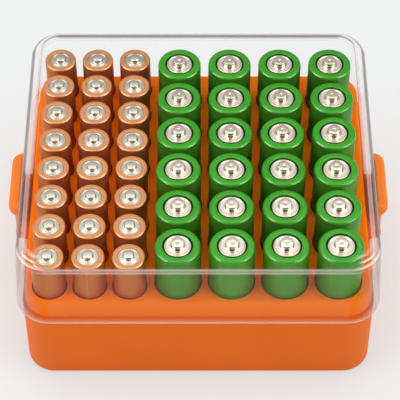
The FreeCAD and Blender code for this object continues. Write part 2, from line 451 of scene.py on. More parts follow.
def make_turning_group():
    """Concentric rings about a cell's axis, from the radius that the UV map holds, broken up by fine
    noise: the marks that a press tool leaves on a metal cap. Also a mask of the nub in the middle."""
    inputs = [("UV", None), ("Vector", None), ("Rings per Unit", 5.0), ("Nub Radius", 2.0)]
    group, given = new_group("pressed_rings", inputs)
    _, radius, _ = split_vector(group, given["UV"])
    waves = math_node(group, "MULTIPLY", radius, given["Rings per Unit"])
    waves = math_node(group, "SINE", math_node(group, "MULTIPLY", waves, 2 * math.pi))
    grain = noise_node(group, given["Vector"], 4500.0, 3.0, 0.7)
    height = math_node(group, "MULTIPLY_ADD", waves, 0.25, grain)
    stain = noise_node(group, given["Vector"], 420.0, 3.0, 0.6)
    nub = math_node(group, "LESS_THAN", radius, given["Nub Radius"])
    set_outputs(group, {"Height": height, "Stain": stain, "Nub": nub})
    return group


def make_film_group():
    """Printed film shrunk round a cell: a lap seam down one side, from the share of the turn in the
    UV map, faint drag lines, tight wrinkles past the shoulder, and a mask of the end ring there, which
    the jacket gives lighter colours as a painted sheen."""
    inputs = [("UV", None), ("Vector", None), ("Shoulder Radius", 6.5)]
    group, given = new_group("shrunk_film", inputs)
    turn, radius, _ = split_vector(group, given["UV"])
    seam = math_node(group, "LESS_THAN", turn, FILM_SEAM)
    on_end = math_node(group, "LESS_THAN", radius, given["Shoulder Radius"])
    waves = math_node(group, "MULTIPLY", turn, 2 * math.pi * FILM_PLEATS)
    pleats = math_node(group, "MULTIPLY", math_node(group, "SINE", waves), on_end)
    drag = noise_node(group, given["Vector"], 260.0, 2.0, 0.5)
    height = math_node(group, "MULTIPLY_ADD", pleats, 0.12, drag)
    height = math_node(group, "MULTIPLY_ADD", seam, 0.8, height)
    cloud = noise_node(group, given["Vector"], 130.0, 2.0, 0.5)
    past_edge = math_node(group, "SUBTRACT", given["Shoulder Radius"], radius)
    ring = math_node(group, "MULTIPLY_ADD", past_edge, 4.0, 1.5, clamp=True)
    set_outputs(group, {"Height": height, "Seam": seam, "Cloud": cloud, "Ring": ring})
    return group


MOULDED = make_moulding_group()
PRESSED = make_turning_group()
FILM = make_film_group()


def new_material(name, settings):
    """A material with a Principled BSDF whose plain sockets have the given values."""
    material = bpy.data.materials.new(name)
    material.use_nodes = True
    tree = material.node_tree
    shader = tree.nodes["Principled BSDF"]
    for label, value in settings.items():
        shader.inputs[label].default_value = value
    places = tree.nodes.new("ShaderNodeTexCoord")
    return material, tree, shader, places


def place_group(tree, group, places, values, uses_uv=False):
    """Adds a shader group on the object's own coordinates, with the given input values."""
    node = tree.nodes.new("ShaderNodeGroup")
    node.node_tree = group
    tree.links.new(places.outputs["Object"], node.inputs["Vector"])
    if uses_uv:
        tree.links.new(places.outputs["UV"], node.inputs["UV"])
    for label, value in values.items():
        node.inputs[label].default_value = value
    return node


def mix_colours(tree, share, first, second):
    """Mixes two colours by a share, and returns the result's socket."""
    node = tree.nodes.new("ShaderNodeMix")
    node.data_type = "RGBA"
    tree.links.new(share, node.inputs[0])
    for socket, value in zip((node.inputs[6], node.inputs[7]), (first, second)):
        if isinstance(value, tuple):
            socket.default_value = value
        else:
            tree.links.new(value, socket)
    return node.outputs[2]


def spread_value(tree, share, low, high):
    """Maps a share from 0 to 1 onto low to high."""
    node = tree.nodes.new("ShaderNodeMapRange")
    node.inputs["To Min"].default_value = low
    node.inputs["To Max"].default_value = high
    tree.links.new(share, node.inputs["Value"])
    return node.outputs["Result"]


def smooth_ramp(tree, value, start, end, low, high):
    """Maps a value smoothly from start to end onto low to high."""
    node = tree.nodes.new("ShaderNodeMapRange")
    node.interpolation_type = "SMOOTHSTEP"
    for label, number in (("From Min", start), ("From Max", end), ("To Min", low), ("To Max", high)):
        node.inputs[label].default_value = number
    tree.links.new(value, node.inputs["Value"])
    return node.outputs["Result"]


def piece_tone_and_painted_light(tree):
    """The tone that the piece's own mesh carries: random on the cells, painted shade in the tray's
    wells, painted dark lines and highlights on the lid.
    """
    tone_and_painted_light = tree.nodes.new("ShaderNodeAttribute")
    tone_and_painted_light.attribute_name = "tone_and_painted_light"
    return tone_and_painted_light.outputs["Fac"]


def mix_into_surface(tree, share, first, second):
    """Mixes two shaders by a share into the material's surface."""
    mix = tree.nodes.new("ShaderNodeMixShader")
    for value, socket in zip((share, first.outputs[0], second.outputs[0]), mix.inputs):
        tree.links.new(value, socket)
    tree.links.new(mix.outputs[0], tree.nodes["Material Output"].inputs["Surface"])


def add_bump(tree, shader, height, strength, distance):
    """Feeds a height through a Bump node into the shader's normal."""
    bump = tree.nodes.new("ShaderNodeBump")
    bump.inputs["Strength"].default_value = strength
    bump.inputs["Distance"].default_value = distance
    tree.links.new(height, bump.inputs["Height"])
    tree.links.new(bump.outputs["Normal"], shader.inputs["Normal"])


def make_plastic(name, deep, light, roughness, shine=0.12, painted_shade=None):
    """Moulded plastic in two close colours, mixed by its mottling. Where a painted shade colour is
    given, the piece's tone mixes it in: painted shade in the gaps of the wells."""
    material, tree, shader, places = new_material(name, {"IOR": 1.5, "Specular IOR Level": shine})
    surface = place_group(tree, MOULDED, places, {})
    mottle = surface.outputs["Mottle"]
    colour = mix_colours(tree, mottle, deep, light)
    if painted_shade:
        colour = mix_colours(tree, piece_tone_and_painted_light(tree), colour, painted_shade)
    tree.links.new(colour, shader.inputs["Base Color"])
    tree.links.new(spread_value(tree, mottle, roughness, roughness + 0.08), shader.inputs["Roughness"])
    add_bump(tree, shader, surface.outputs["Height"], 0.25, 0.00002)
    return material


def make_jacket(name, side, ring, seam_colour, metallic, coat, coat_roughness, shoulder_radius):
    """Printed film on a cell. Its side and its end ring each have two close colours, mixed by a
    cloudy pattern and by the cell's own tone; the ring's are lighter, a painted sheen where the end
    faces the light. The seam is paler, and the edge between the side and the ring is glossier."""
    settings = {
        "Metallic": metallic,
        "Specular IOR Level": 0.15,
        "Coat Roughness": coat_roughness,
        "Coat IOR": 2.1,
    }
    material, tree, shader, places = new_material(name, settings)
    surface = place_group(tree, FILM, places, {"Shoulder Radius": shoulder_radius}, uses_uv=True)
    cloud, on_ring = surface.outputs["Cloud"], surface.outputs["Ring"]
    share = math_node(tree, "ADD", cloud, piece_tone_and_painted_light(tree), clamp=True)
    # The end ring's lighter colours are a painted sheen on the top of the cell
    colour = mix_colours(tree, on_ring, mix_colours(tree, share, *side), mix_colours(tree, share, *ring))
    seam = math_node(tree, "MULTIPLY", surface.outputs["Seam"], 0.35)
    tree.links.new(mix_colours(tree, seam, colour, seam_colour), shader.inputs["Base Color"])
    edge = math_node(tree, "MULTIPLY", on_ring, math_node(tree, "SUBTRACT", 1.0, on_ring))
    tree.links.new(math_node(tree, "MULTIPLY_ADD", edge, 3.8, coat), shader.inputs["Coat Weight"])
    roughness = spread_value(tree, cloud, FILM_ROUGHNESS, FILM_ROUGHNESS + 0.1)
    tree.links.new(roughness, shader.inputs["Roughness"])
    add_bump(tree, shader, surface.outputs["Height"], 0.1, 0.00005)
    return material


def make_metal(name, clean, stained, roughness, rings, nub_radius=0.0):
    """Nickel-plated steel with pressed rings and a faint stain, smoother within the nub's radius."""
    material, tree, shader, places = new_material(name, {"Metallic": 1.0})
    values = {"Rings per Unit": rings, "Nub Radius": nub_radius}
    surface = place_group(tree, PRESSED, places, values, uses_uv=True)
    stain = surface.outputs["Stain"]
    tree.links.new(mix_colours(tree, stain, clean, stained), shader.inputs["Base Color"])
    rough = spread_value(tree, stain, roughness, roughness + 0.12)
    rough = math_node(tree, "MULTIPLY_ADD", surface.outputs["Nub"], -0.15, rough)
    tree.links.new(rough, shader.inputs["Roughness"])
    add_bump(tree, shader, surface.outputs["Height"], 0.12, 0.00003)
    return material


def make_seal():
    """The dark insulating washer of a large cell."""
    material, tree, shader, places = new_material(
        "seal_plastic", {"Roughness": 0.5, "Specular IOR Level": 0.2}
    )
    surface = place_group(tree, MOULDED, places, {"Grain Scale": 3000.0})
    colour = mix_colours(tree, surface.outputs["Mottle"], *SEAL_COLOURS)
    tree.links.new(colour, shader.inputs["Base Color"])
    add_bump(tree, shader, surface.outputs["Height"], 0.2, 0.00003)
    return material


def make_clear_plastic():
    """Clear moulded plastic, thin enough that what lies behind it isn't bent. It mirrors more the
    flatter it is seen, by Schlick's rule. Its rounded edges carry a painted dark line where they are
    seen flat, up to a tone of 1, or always, above 1. A tone below 0 is a painted highlight, which
    also mirrors more."""
    material, tree, shader, places = new_material(
        "clear_plastic", {"Roughness": 0.08, "Metallic": 0.0, "Transmission Weight": 0.0, "IOR": 1.49}
    )
    tone_and_painted_light = piece_tone_and_painted_light(tree)
    flatness = tree.nodes.new("ShaderNodeLayerWeight").outputs["Facing"]
    painted_dark_line = math_node(tree, "MAXIMUM", tone_and_painted_light, 0.0)
    always = math_node(tree, "MAXIMUM", math_node(tree, "SUBTRACT", painted_dark_line, 1.0), 0.0)
    when_flat = smooth_ramp(tree, flatness, *EDGE_FLATNESS, 0.0, PAINTED_LINE_DARKNESS)
    painted_dark_line = math_node(tree, "MULTIPLY", math_node(tree, "MINIMUM", painted_dark_line, 1.0), when_flat)
    painted_dark_line = math_node(tree, "MAXIMUM", painted_dark_line, always)
    painted_highlight = math_node(tree, "MULTIPLY", tone_and_painted_light, -PAINTED_HIGHLIGHT_PALENESS, clamp=True)
    surface = place_group(tree, MOULDED, places, {"Grain Scale": 120.0, "Flow Scale": 25.0})
    haze = spread_value(tree, surface.outputs["Mottle"], 0.0, CLEAR_HAZE)
    alpha = math_node(tree, "ADD", math_node(tree, "ADD", painted_dark_line, painted_highlight), haze, clamp=True)
    tree.links.new(alpha, shader.inputs["Alpha"])
    # Colour of the painted highlights, and elsewhere of the painted dark lines
    colour = mix_colours(tree, math_node(tree, "GREATER_THAN", painted_highlight, 0.01), *PAINTED_EDGE_COLOURS)
    tree.links.new(colour, shader.inputs["Base Color"])
    gloss = tree.nodes.new("ShaderNodeBsdfGlossy")
    gloss.inputs["Roughness"].default_value = 0.03
    mirror = spread_value(tree, math_node(tree, "POWER", flatness, 5.0), 0.0, CLEAR_MIRROR)
    mirror = math_node(tree, "MULTIPLY_ADD", painted_highlight, PAINTED_HIGHLIGHT_MIRROR, mirror, clamp=True)
    mix_into_surface(tree, mirror, shader, gloss)
    return material


# Colours of the finishes, some of them painted light: pairs are mixed by a pattern
TUB_COLOURS = (0.76, 0.138, 0.006, 1), (0.79, 0.147, 0.008, 1)
TRAY_COLOURS = (0.95, 0.18, 0.002, 1), (0.98, 0.20, 0.003, 1)
# Painted shade for the gaps of the wells, mixed in by the tray's tone
TRAY_PAINTED_SHADE = (0.07, 0.014, 0.004, 1)
CLIP_COLOURS = (0.88, 0.20, 0.022, 1), (0.92, 0.22, 0.03, 1)
LARGE_SIDE_COLOURS = (0.055, 0.23, 0.012, 1), (0.075, 0.29, 0.018, 1)
# Lighter colours of a large cell's end ring: painted sheen where the top faces the light
LARGE_RING_PAINTED_SHEEN_COLOURS = (0.030, 0.27, 0.008, 1), (0.042, 0.33, 0.012, 1)
LARGE_SEAM_COLOUR = (0.12, 0.5, 0.06, 1)
SMALL_SIDE_COLOURS = (0.50, 0.15, 0.038, 1), (0.59, 0.19, 0.055, 1)
# Lighter colours of a small cell's end ring: painted sheen where the top faces the light
SMALL_RING_PAINTED_SHEEN_COLOURS = (0.55, 0.235, 0.095, 1), (0.62, 0.275, 0.12, 1)
SMALL_SEAM_COLOUR = (0.8, 0.42, 0.22, 1)
LARGE_CAP_COLOURS = (0.65, 0.595, 0.50, 1), (0.53, 0.475, 0.385, 1)
SMALL_CAP_COLOURS = (0.56, 0.53, 0.46, 1), (0.45, 0.42, 0.35, 1)
PIN_COLOURS = (0.62, 0.62, 0.62, 1), (0.5, 0.5, 0.5, 1)
SEAL_COLOURS = (0.001, 0.001, 0.001, 1), (0.004, 0.004, 0.004, 1)
# Painted dark lines and painted highlights on the lid's edges
PAINTED_EDGE_COLOURS = (0.10, 0.065, 0.075, 1), (1.0, 0.82, 0.74, 1)

TUB_PLASTIC = make_plastic("tub_plastic", *TUB_COLOURS, 0.42)
TRAY_PLASTIC = make_plastic("tray_plastic", *TRAY_COLOURS, 0.36, 0.03, TRAY_PAINTED_SHADE)
CLIP_PLASTIC = make_plastic("clip_plastic", *CLIP_COLOURS, 0.38)
LARGE_FILM = make_jacket(
    "large_cell_film",
    LARGE_SIDE_COLOURS,
    LARGE_RING_PAINTED_SHEEN_COLOURS,
    LARGE_SEAM_COLOUR,
    metallic=0.3,
    coat=0.1,
    coat_roughness=0.03,
    shoulder_radius=6.75,
)
SMALL_FILM = make_jacket(
    "small_cell_film",
    SMALL_SIDE_COLOURS,
    SMALL_RING_PAINTED_SHEEN_COLOURS,
    SMALL_SEAM_COLOUR,
    metallic=0.6,
    coat=0.0,
    coat_roughness=0.04,
    shoulder_radius=4.8,
)
LARGE_CAP_METAL = make_metal("large_cap_nickel", *LARGE_CAP_COLOURS, 0.28, 2.2, 2.6)
SMALL_CAP_METAL = make_metal("small_cap_nickel", *SMALL_CAP_COLOURS, 0.27, 3.0)
PIN_STEEL = make_metal("pin_steel", *PIN_COLOURS, 0.3, 1.0)
SEAL_PLASTIC = make_seal()
CLEAR_PLASTIC = make_clear_plastic()


# Cells
def column_centres(node, rows):
    """The axes of a column of cells, the cells' radius, bottom and top, from the node's box."""
    low, high = node_box(node)
    radius = (high[0] - low[0]) / 2
    ys = np.linspace(low[1] + radius, high[1] - radius, rows)
    xs = np.full(rows, (low[0] + high[0]) / 2)
    return np.column_stack([xs, ys]), radius, low[2], high[2]


def moved_rows(rows, radius, height):
    """Rows of a profile, moved outward by a radius and up by a height."""
    return [(place + radius, level + height, rounding) for place, level, rounding in rows]


def jacket_profile(cell, radius, bottom, top):
    """From the middle of the foot, up the side, over the shoulder and down the ring's inner edge."""
    side = [(0, bottom, 0), (radius, bottom, cell["foot_round"]), (radius, top, cell["shoulder"])]
    return rounded_path(side + moved_rows(cell["ring"], 0, top))


def cap_profile(cell, nub_radius, nub_top, top):
    """From under the cap's middle, up its rim, in across the disc, up the flared foot of the nub,
    and over the nub's edge to its middle, which has the dimple of a vent on a large cell."""
    disc = top - cell["drop"]
    rows = moved_rows(cell["rim"], 0, disc)
    rows += moved_rows(cell["nub_foot"], nub_radius, disc)
    rows += moved_rows(cell["nub_edge"], nub_radius, nub_top)
    rows += moved_rows(cell["nub_middle"], 0, nub_top)
    return rounded_path(rows, steps=FINE_STEPS)


def make_cell_columns():
    """The jackets, seals and caps of every column of cells. Each cell is turned to its own angle."""
    random = np.random.default_rng(SEED)
    for size, cell, film, metal in (
        ("large", LARGE_CELL, LARGE_FILM, LARGE_CAP_METAL),
        ("small", SMALL_CELL, SMALL_FILM, SMALL_CAP_METAL),
    ):
        for number in range(1, cell["columns"] + 1):
            cells = f"{cell['family']}_cells_{number}"
            buttons = f"{cell['family']}_buttons_{number}"
            centres, radius, bottom, top = column_centres(cells, cell["rows"])
            button_low, button_high = node_box(buttons)
            nub_radius = (button_high[0] - button_low[0]) / 2
            turns = random.uniform(0, 2 * math.pi, cell["rows"])
            tones = random.uniform(-CELL_TONE_SPREAD, CELL_TONE_SPREAD, cell["rows"])
            grid, uv = lathe(jacket_profile(cell, radius, bottom, top), centres, turns)
            build_piece(
                f"{size}_cell_jackets_{number}",
                [(grid, uv, tones)],
                film,
                "case",
                replaces=[cells],
            )
            grid, uv = lathe(cap_profile(cell, nub_radius, button_high[2], top), centres, turns)
            build_piece(
                f"{size}_cell_caps_{number}",
                [(grid, uv, tones)],
                metal,
                "case",
                replaces=[buttons],
                sharp=60.0,
            )
            if size == "large":
                profile = rounded_path(moved_rows(SEAL, 0, top), steps=2, closed=True)
                grid, uv = lathe(np.concatenate([profile, profile[:1]]), centres, turns)
                build_piece(f"{size}_cell_seals_{number}", [(grid, uv, tones)], SEAL_PLASTIC, "case")


# Tray
def tile(centre, radius, bottom, deck, edge):
    """One well with the piece of deck round it. Each row of the grid goes round the well: first the
    tile's edge, then the lip, the wall and the floor, on circles whose points lie on the rays from
    the well's centre to the edge's points."""
    reach = edge - centre
    ray = reach / np.linalg.norm(reach, axis=1, keepdims=True)
    profile = rounded_path(
        [
            (radius + WELL_LIP * 2, deck, 0),
            (radius, deck, WELL_LIP),
            (radius, bottom, WELL_FOOT_ROUND),
            (0, bottom, 0),
        ],
        steps=FINE_STEPS,
    )[1:]
    circles = centre[None] + ray[None] * profile[:, None, :1]
    heights = np.concatenate([[deck], profile[:, 1]])
    return ring_grid(np.concatenate([edge[None], circles]), heights)


def tile_stops(middles, low, high, steps):
    """Evenly spaced places across each tile, in one array for each. The tiles reach from low to
    high, and meet halfway between the middles of their wells."""
    bounds = np.concatenate([[low], (middles[:-1] + middles[1:]) / 2, [high]])
    return [np.linspace(start, end, steps + 1) for start, end in zip(bounds[:-1], bounds[1:])]


def joined_stops(stops):
    """All the places of several arrays, in order, each once."""
    return np.unique(np.concatenate(stops).round(6))


def cell_columns(cell):
    """The centres, radius, bottom and top of every column of one kind of cell."""
    numbers = range(1, cell["columns"] + 1)
    return [column_centres(f"{cell['family']}_cells_{number}", cell["rows"]) for number in numbers]


def make_tray():
    """The tray: one tile for each well, and a skirt round their common outline, which rounds the deck's
    edge, goes down the collar and closes the body below. The tiles' tone is the depth below the deck
    as a share of the lip, so that painted shade darkens the gap of a well."""
    low, high = node_box("battery_tray")
    tub_top = node_box("clear_lid")[0][2]
    half_x, half_y, deck = high[0] - DECK_EDGE, high[1] - DECK_EDGE, high[2]
    corner = COLLAR_CORNER - DECK_EDGE
    small, large = cell_columns(SMALL_CELL), cell_columns(LARGE_CELL)
    small_edge = small[-1][0][0, 0] + small[-1][1]
    large_edge = large[0][0][0, 0] - large[0][1]
    divide = (small_edge + large_edge) / 2
    small_x, large_x = [np.array([column[0][0, 0] for column in kind]) for kind in (small, large)]
    small_xs = tile_stops(small_x, -half_x, divide, SMALL_TILE_STEPS)
    large_xs = tile_stops(large_x, divide, half_x, LARGE_TILE_STEPS)
    small_ys = tile_stops(small[0][0][:, 1], -half_y, half_y, SMALL_TILE_STEPS)
    large_ys = tile_stops(large[0][0][:, 1], -half_y, half_y, LARGE_TILE_STEPS)
    shared = joined_stops(small_ys + large_ys)
    patches = []
    for columns, x_stops, y_stops in ((small, small_xs, small_ys), (large, large_xs, large_ys)):
        for (centres, radius, bottom, _), xs in zip(columns, x_stops):
            for centre, ys in zip(centres, y_stops):
                on_divide = shared[(shared > ys[0] - 1e-6) & (shared < ys[-1] + 1e-6)]
                left = on_divide if abs(xs[0] - divide) < 1e-6 else ys
                right = on_divide if abs(xs[-1] - divide) < 1e-6 else ys
                edge, _ = round_off(walk_round(xs, right, xs, left), half_x, half_y, corner)
                grid = tile(centre, radius + WELL_CLEARANCE, bottom, deck, edge)
                # The tone darkens the well with painted shade, growing with the depth below the deck
                depth = (deck - grid[..., 2]) / WELL_LIP
                patches.append((grid, None, np.clip(depth - WELL_LIT_SHARE, 0, 1)))
    all_x = joined_stops(small_xs + large_xs)
    edge = walk_round(all_x, joined_stops(large_ys), all_x, joined_stops(small_ys))
    outline, outward = round_off(edge, half_x, half_y, corner)
    skirt = rounded_path(
        [
            (0, deck, 0),
            (DECK_EDGE, deck, DECK_EDGE - 0.001),
            (DECK_EDGE, tub_top, 0),
            (DECK_EDGE - BODY_INSET, tub_top, 0),
            (DECK_EDGE - BODY_INSET, low[2], 0),
        ]
    )
    patches.append((capped(loft(outline, outward, skirt), last=(0, 0, low[2])), None, None))
    build_piece(
        "wells_tray", patches, TRAY_PLASTIC, "case", replaces=["battery_tray"]
    )


# Tub
def prism_along_y(section, half_length, centre):
    """A bar along y with the closed section given in x and z, its ends closed onto a centre."""
    section = np.concatenate([section, section[:1]])
    ends = (-half_length, half_length)
    rows = np.array([np.insert(section, 1, end, axis=1) for end in ends])
    return capped(rows, *[(centre[0], end, centre[1]) for end in ends])


def on_side(points, sign):
    """The points of a right-hand piece on the right, for 1, or mirrored to the left, for -1."""
    return points * np.array([sign, 1.0, 1.0])


def make_tub():
    """The tub: one profile carried round its outline, from the middle of its underside over the
    rounded foot, up the wall, over the rim and down to the middle of its floor."""
    rim = node_box("clear_lid")[0][2]
    outline, outward = rounded_outline(*half_sizes("base_tub"), TUB_CORNER)
    profile = rounded_path(
        [
            (-TUB_FOOT_ROUND * 2, 0, 0),
            (0, 0, TUB_FOOT_ROUND),
            (0, rim, TUB_RIM_ROUND),
            (-TUB_WALL, rim, TUB_RIM_ROUND),
            (-TUB_WALL, TUB_FLOOR, 0),
        ]
    )
    shell = capped(loft(outline, outward, profile), first=(0, 0, 0), last=(0, 0, TUB_FLOOR))
    patches = [(shell, None, None)]
    build_piece("tub", patches, TUB_PLASTIC, "case", replaces=["base_tub"])


def make_ears():
    """The two pairs of hinge ears: each is round about the pin, with a gusset down to the wall."""
    wall_x, _ = half_sizes("base_tub")
    axis_x, axis_z = pin_axis()
    radius = node_box("base_tub")[1][0] - axis_x
    rounding = radius - FULL_ROUND_SLACK
    section = rounded_path(
        [
            (wall_x - TUB_WALL / 2, axis_z + radius, 0),
            (axis_x + radius, axis_z + radius, rounding),
            (axis_x + radius, axis_z - radius, rounding),
            (wall_x - TUB_WALL / 2, axis_z - radius - EAR_GUSSET, 0),
        ],
        closed=True,
    )
    ear = prism_along_y(section, EAR_WIDTH / 2, (axis_x, axis_z))
    middle = node_box("right_hinge_pin")[1][1] - EAR_WIDTH / 2
    for side, sign in SIDES:
        ears = [on_side(ear + np.array([0, end * middle, 0]), sign) for end in (-1, 1)]
        patches = [(points, None, None) for points in ears]
        build_piece(
            f"{side}_hinge_ears", patches, TUB_PLASTIC, "case", bevel=EAR_EDGE
        )


# Lid
def lid_profile(height, bottom):
    """From the middle of the roof, out over the rounded top edge, down the leaning wall, round the
    rim, up inside and back to the middle of the ceiling, as (offset, height)."""
    top = bottom + height
    ceiling = top - LID_ROOF
    inner_lean = LID_DRAFT * (ceiling - bottom) / height
    outer = rounded_path(
        [
            (-LID_DRAFT - LID_TOP_ROUND * 1.5, top, 0),
            (-LID_DRAFT, top, LID_TOP_ROUND),
            (0, bottom, LID_RIM_ROUND),
            (-LID_WALL, bottom, LID_RIM_ROUND),
            (-LID_WALL - inner_lean, ceiling, LID_TOP_ROUND - LID_ROOF),
            (-LID_WALL - inner_lean - LID_TOP_ROUND, ceiling, 0),
        ],
        steps=LID_ARC_STEPS,
    )
    return outer, top, ceiling


def painted_edge_light(outward):
    """Paints light on the rounded edges of the lid, for each row of its profile and each direction of
    its
    outline: above 0 a painted dark line, below 0 a painted highlight. The rows of the top edge have one
    list for each side that it can face. A corner's list counts as twice the product of the direction's
    parts, and the sides' lists share the rest by the squares of these parts."""
    arc = LID_ARC_STEPS + 1
    painted_light = np.zeros((4 * arc + 2, len(outward)))
    ahead, behind = np.maximum(-outward[:, 1], 0), np.maximum(outward[:, 1], 0)
    corners = 2 * np.abs(outward[:, 0]) * np.stack([ahead, behind])
    straight = np.stack([outward[:, 0], behind, ahead]) ** 2 * (1 - corners.sum(axis=0))
    painted_light[1 : arc + 1] = np.array(TOP_EDGE_PAINTED_LIGHT).T @ np.vstack([straight, corners])
    painted_light[arc + 1 : 2 * arc + 1] = OUTER_RIM_PAINTED_HIGHLIGHT
    painted_light[2 * arc + 1 : 3 * arc + 1] = INNER_RIM_PAINTED_SHADE
    return painted_light


def painted_wall_light(outward):
    """Paints light on the lid's walls for each direction of their outline: painted shade in the front
    corners, which grows with twice the product of the direction's parts, and a faint painted reflection,
    a veil, at the front, which grows with the square of the direction's part towards the front."""
    ahead = np.maximum(-outward[:, 1], 0)
    return WALL_PAINTED_SHADE * 2 * np.abs(outward[:, 0]) * ahead - WALL_PAINTED_REFLECTION * ahead**2


def make_lid():
    """The lid: one profile carried round its outline. In the middle of the left and right sides the
    outer wall swells to a catch bead, whose offset rises and falls with the height. The inner rim's
    painted dark line ends a small share of the way up the inner wall."""
    low, high = node_box("clear_lid")
    bead_end = BEAD_LENGTH / 2
    between = np.array([-bead_end - BEAD_RAMP, -bead_end, bead_end, bead_end + BEAD_RAMP])
    outline, outward = rounded_outline(*half_sizes("clear_lid"), LID_CORNER, between)
    profile, top, ceiling = lid_profile(high[2] - low[2], low[2])
    bead_low = low[2] + BEAD_BOTTOM
    bead_high = bead_low + BEAD_HEIGHT
    bead_heights = np.array(
        [
            top - LID_TOP_ROUND - WALL_START,
            bead_high + BEAD_SLOPE,
            bead_high - BEAD_SLOPE,
            bead_low + BEAD_SLOPE,
            bead_low - BEAD_SLOPE,
        ]
    )
    lean = LID_DRAFT / (high[2] - low[2])
    wall_rows = np.column_stack([-(bead_heights - low[2]) * lean, bead_heights])
    split = int(np.argmax(profile[:, 1] < bead_heights[0]))
    painted_light = np.insert(painted_edge_light(outward), [split] * len(wall_rows), painted_wall_light(outward), axis=0)
    profile = np.concatenate([profile[:split], wall_rows, profile[split:]])
    inner_foot = len(profile) - LID_ARC_STEPS - 2
    foot, head = profile[inner_foot - 1], profile[inner_foot]
    above_rim = foot + (head - foot) * RIM_FADE
    painted_light = np.insert(painted_light, inner_foot, 0, axis=0)
    profile = np.insert(profile, inner_foot, above_rim, axis=0)
    points = loft(outline, outward, profile)
    rows = slice(split + 2, split + 4)
    along = np.abs(points[rows, :, 1])
    share = np.clip((bead_end + BEAD_RAMP - along) / BEAD_RAMP, 0, 1)
    on_side = np.isclose(np.abs(np.concatenate([outward, outward[:1]])[:, 0]), 1.0)
    swell = (high[0] - np.abs(points[rows, :, 0])) * share * on_side[None]
    points[rows, :, 0] += np.sign(points[rows, :, 0]) * swell
    shell = capped(points, first=(0, 0, top), last=(0, 0, ceiling))
    tone_and_painted_light = np.pad(np.column_stack([painted_light, painted_light[:, 0]]), ((1, 1), (0, 0)))
    build_piece(
        "lid_shell",
        [(shell, None, tone_and_painted_light)],
        CLEAR_PLASTIC,
        "lid",
        replaces=["clear_lid"],
        sharp=30.0,
    )


# Clips
def clip_values():
    """The places of the right-hand clip, from the boxes of its node, its pin and the lid."""
    low, high = node_box("right_clip")
    lid_low, lid_high = node_box("clear_lid")
    axis_x, axis_z = pin_axis()
    hook_x = lid_high[0] + HOOK_CLEARANCE
    hook_low = lid_low[2] + BEAD_BOTTOM + BEAD_HEIGHT + HOOK_GAP
    half_length = high[1] - (high[0] - hook_x)
    return axis_x, axis_z, axis_x - low[0], hook_x, hook_low, half_length, high


def make_clips():
    """The clips. The upper part is a closed section carried along a path that is straight in the
    middle and turns a quarter round at each end, about the upright line of the hook's face; the
    lower part is a bar with the waist and the hinge barrel."""
    axis_x, axis_z, radius, hook_x, hook_low, half_length, high = clip_values()
    waist_x, throat_x, grip_x, grip_top = axis_x + radius, hook_x + HOOK_DEPTH, high[0], high[2]
    lip_low = grip_top - CLIP_LIP_DROP
    split = axis_z + radius + BARREL_NECK
    upper = rounded_path(
        [
            (waist_x, split, 0),
            (waist_x, lip_low, CLIP_WAIST_ROUND),
            (grip_x, lip_low + CLIP_LIP_SLOPE, CLIP_LIP_ROUND),
            (grip_x, grip_top, CLIP_LIP_ROUND),
            (hook_x, grip_top, CLIP_INNER_ROUND),
            (hook_x, hook_low + HOOK_SLOPE, 0),
            (throat_x, hook_low, 0),
            (throat_x, split, 0),
        ],
        closed=True,
    )
    upper = np.concatenate([upper, upper[:1]])
    turns = np.radians(np.linspace(-90, 0, CLIP_END_STEPS + 1))
    angle = np.concatenate([turns, -turns[::-1]])[:, None]
    ends = np.repeat([-half_length, half_length], len(turns))[:, None]
    reach = upper[None, :, 0] - hook_x
    x, y = hook_x + reach * np.cos(angle), ends + reach * np.sin(angle)
    points = np.stack([x, y, np.broadcast_to(upper[:, 1], x.shape)], axis=-1)
    core_x, core_z = CLIP_CORE
    end_y = half_length + core_x - hook_x
    points = capped(points, (hook_x, -end_y, core_z), (hook_x, end_y, core_z))
    rounding = radius - FULL_ROUND_SLACK
    lower = rounded_path(
        [
            (waist_x, split + BARREL_OVERLAP, 0),
            (throat_x, split + BARREL_OVERLAP, 0),
            (throat_x, split, 0),
            (axis_x - radius, split - BARREL_SHOULDER, radius / 2),
            (axis_x - radius, axis_z - radius, rounding),
            (waist_x, axis_z - radius, rounding),
        ],
        closed=True,
    )
    barrel = prism_along_y(lower, half_length, (axis_x, axis_z))
    for side, sign in SIDES:
        build_piece(
            f"{side}_clip_moulding",
            [(on_side(points, sign), None, None), (on_side(barrel, sign), None, None)],
            CLIP_PLASTIC,
            f"{side}_clip_body",
            replaces=[f"{side}_clip"],
            sharp=35.0,
        )


def make_pins():
    """The hinge pins: a profile turned about the pin's axis, with rounded ends."""
    low, high = node_box("right_hinge_pin")
    radius = (high[2] - low[2]) / 2
    profile = rounded_path(
        [(0, low[1], 0), (radius, low[1], PIN_EDGE), (radius, high[1], PIN_EDGE), (0, high[1], 0)],
        steps=3,
    )
    grid, uv = lathe(profile, np.zeros((1, 2)), segments=PIN_SEGMENTS)
    axis_x, axis_z = pin_axis()
    points = grid[..., [0, 2, 1]] + np.array([axis_x, 0, axis_z])
    for side, sign in SIDES:
        build_piece(
            f"{side}_steel_pin",
            [(on_side(points, sign), uv, None)],
            PIN_STEEL,
            "case",
            replaces=[f"{side}_hinge_pin"],
        )


make_cell_columns()
make_tray()
make_tub()
make_ears()
make_lid()
make_clips()
make_pins()


